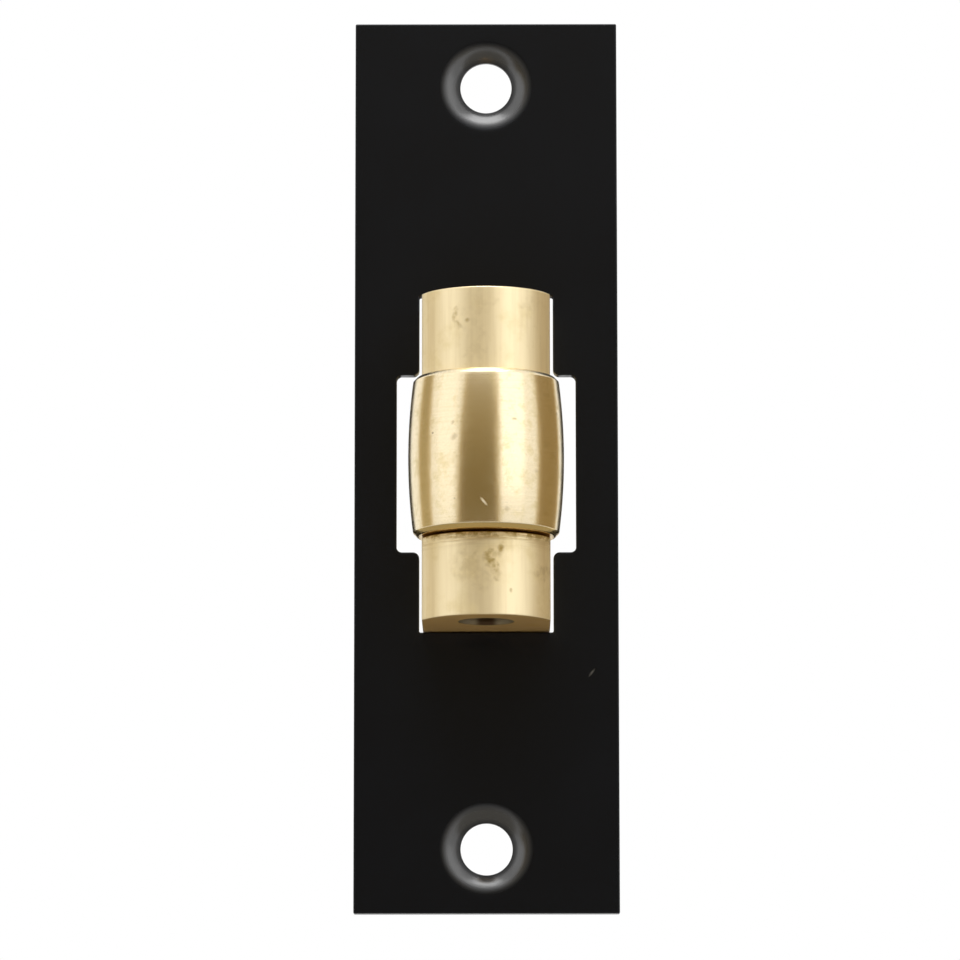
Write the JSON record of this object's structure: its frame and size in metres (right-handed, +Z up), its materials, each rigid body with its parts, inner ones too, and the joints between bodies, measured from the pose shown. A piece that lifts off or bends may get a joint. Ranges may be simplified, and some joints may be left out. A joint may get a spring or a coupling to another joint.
{
  "type": "roller bolt",
  "caption": "Sprung roller bolt for a door edge: a brass bar with a crowned roller in its nose slides through a black face plate.",
  "frame": {"origin": "midway between the two fixing holes, on the back face of the face plate", "axes": "+X across the face plate, -Y out of the door edge towards the strike, +Z up along the face plate"},
  "size_m": [0.025, 0.0545, 0.0854],
  "materials": {
    "black_paint": "satin",
    "brass_bar": "satin",
    "brass_roller": "turned and polished",
    "bright_steel": "satin",
    "zinc_plate": "zinc plated",
    "spring_steel": "drawn"
  },
  "bodies": {
    "frame": {"face_plate": "black_paint", "strap": "black_paint", "rivet_upper_left": "black_paint", "rivet_upper_right": "black_paint", "rivet_lower_left": "black_paint", "rivet_lower_right": "black_paint", "spring_upper": "spring_steel", "spring_lower": "spring_steel"},
    "bolt": {"bolt_bar": "brass_bar", "axle_pin": "brass_bar", "guide_rod_upper": "bright_steel", "guide_rod_lower": "bright_steel", "washer_upper": "zinc_plate", "washer_lower": "zinc_plate", "stop_nut_upper": "zinc_plate", "stop_nut_lower": "zinc_plate", "lock_nut_upper": "zinc_plate", "lock_nut_lower": "zinc_plate"},
    "roller": {"roller": "brass_roller"}
  },
  "joints": [
    {"name": "bolt_slide", "type": "slide", "parent": "frame", "child": "bolt", "axis": [0, 1, 0], "range_m": [0, 0.013], "stiffness_N_per_m": 4400, "springref_m": -0.003, "deforming": ["spring_upper", "spring_lower"]},
    {"name": "roller_spin", "type": "hinge", "parent": "bolt", "child": "roller", "pos_m": [0, -0.0084, -0.0006], "axis": [0, 0, 1], "continuous": true}
  ]
}
